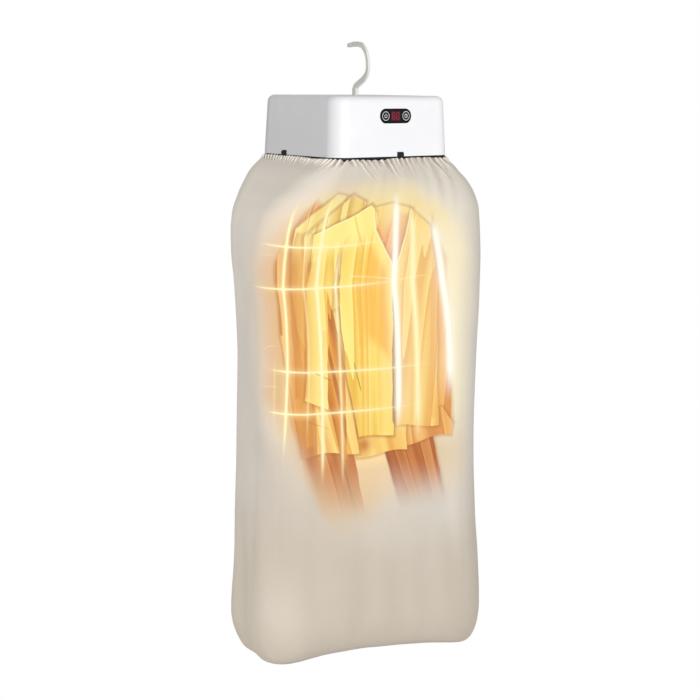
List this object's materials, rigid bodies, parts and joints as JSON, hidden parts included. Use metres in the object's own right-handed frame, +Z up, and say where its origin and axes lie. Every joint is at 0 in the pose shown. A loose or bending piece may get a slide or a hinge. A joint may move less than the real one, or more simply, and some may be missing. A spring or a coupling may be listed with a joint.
{
  "type": "portable clothes dryer",
  "caption": "Hanging portable clothes dryer: white fan-heater head with swivel hook, button panel and garment rail over a gathered beige fabric cover.",
  "frame": {"origin": "saddle of the hook: the top of the inside of its bend, where the rail that carries the dryer sits, above the stem's axis", "axes": "+Z up along the swivel's axis, -Y the way the control panel faces, +X to the right seen from the front"},
  "size_m": [0.5382, 0.3657, 1.2934],
  "materials": {
    "housing_white": "satin gloss",
    "tray_black": "matt",
    "panel_black": "gloss",
    "display": "lit red figures behind a dark window",
    "hook_plastic": "satin",
    "steel": "brushed",
    "brass": "plain",
    "heater_fins": "plain",
    "fan_plastic": "matt",
    "mica": "matt",
    "circuit_board": "satin",
    "filter_foam": "open foam",
    "bag_fabric": "smooth non-woven cloth",
    "elastic": "ribbed"
  },
  "bodies": {
    "hook": {"hook": "hook_plastic", "hook_washer": "steel", "hook_nut": "steel"},
    "head": {"base_tray": "tray_black", "board_screw_left": "steel", "board_screw_right": "steel", "bracket_bolt_front": "steel", "bracket_bolt_rear": "steel", "bracket_nut_front": "steel", "bracket_nut_rear": "steel", "clip_pin_front": "steel", "clip_pin_left": "steel", "clip_pin_rear": "steel", "clip_pin_right": "steel", "control_board": "circuit_board", "display_module": "display", "fan_frame": "fan_plastic", "fan_motor": "steel", "garment_rail": "steel", "hanger_bracket": "steel", "heater_core": "heater_fins", "heater_frame": "mica", "heater_lead": "fan_plastic", "hook_bush": "hook_plastic", "inlet_pin_left": "brass", "inlet_pin_right": "brass", "intake_filter": "filter_foam", "intake_grille": "housing_white", "mains_lead": "fan_plastic", "outlet_grille": "tray_black", "panel_fascia": "panel_black", "power_board": "circuit_board", "power_inlet": "tray_black", "power_relay": "mica", "power_switch": "fan_plastic", "power_transformer": "fan_plastic", "rail_bracket_front": "steel", "rail_bracket_rear": "steel", "rail_cap_front": "tray_black", "rail_cap_rear": "tray_black", "thermal_cutout": "steel", "timer_switch": "fan_plastic", "tray_screw_1": "steel", "tray_screw_2": "steel", "tray_screw_3": "steel", "tray_screw_4": "steel", "upper_housing": "housing_white"},
    "fan": {"fan_rotor": "fan_plastic", "fan_shaft": "steel"},
    "power_button": {"power_button": "panel_black"},
    "timer_button": {"timer_button": "panel_black"},
    "clip_front": {"bag_clip_front": "tray_black"},
    "clip_left": {"bag_clip_left": "tray_black"},
    "clip_rear": {"bag_clip_rear": "tray_black"},
    "clip_right": {"bag_clip_right": "tray_black"},
    "bag": {"bag_cover": "bag_fabric", "bag_elastic": "elastic"}
  },
  "joints": [
    {"name": "hook_swivel", "type": "hinge", "parent": "hook", "child": "head", "pos_m": [0, 0, -0.104], "axis": [0, 0, 1], "continuous": true},
    {"name": "fan_spin", "type": "hinge", "parent": "head", "child": "fan", "pos_m": [0, 0, -0.1742], "axis": [0, 0, 1], "continuous": true},
    {"name": "power_button_press", "type": "slide", "parent": "head", "child": "power_button", "axis": [0, 0.9989, -0.0462], "range_m": [0, 0.001], "stiffness_N_per_m": 1200, "springref_m": -0.0005},
    {"name": "timer_button_press", "type": "slide", "parent": "head", "child": "timer_button", "axis": [0, 0.9989, -0.0462], "range_m": [0, 0.001], "stiffness_N_per_m": 1200, "springref_m": -0.0005},
    {"name": "clip_front_hinge", "type": "hinge", "parent": "head", "child": "clip_front", "pos_m": [0.0108, -0.133, -0.211], "axis": [-1, 0, 0], "range_deg": [0, 60]},
    {"name": "clip_left_hinge", "type": "hinge", "parent": "head", "child": "clip_left", "pos_m": [-0.148, 0.041, -0.211], "axis": [0, 1, 0], "range_deg": [0, 60]},
    {"name": "clip_rear_hinge", "type": "hinge", "parent": "head", "child": "clip_rear", "pos_m": [-0.0108, 0.133, -0.211], "axis": [1, 0, 0], "range_deg": [0, 60]},
    {"name": "clip_right_hinge", "type": "hinge", "parent": "head", "child": "clip_right", "pos_m": [0.148, -0.041, -0.211], "axis": [0, -1, 0], "range_deg": [0, 60]},
    {"name": "bag_drop", "type": "slide", "parent": "head", "child": "bag", "axis": [0, 0, -1], "range_m": [0, 0.15]}
  ]
}
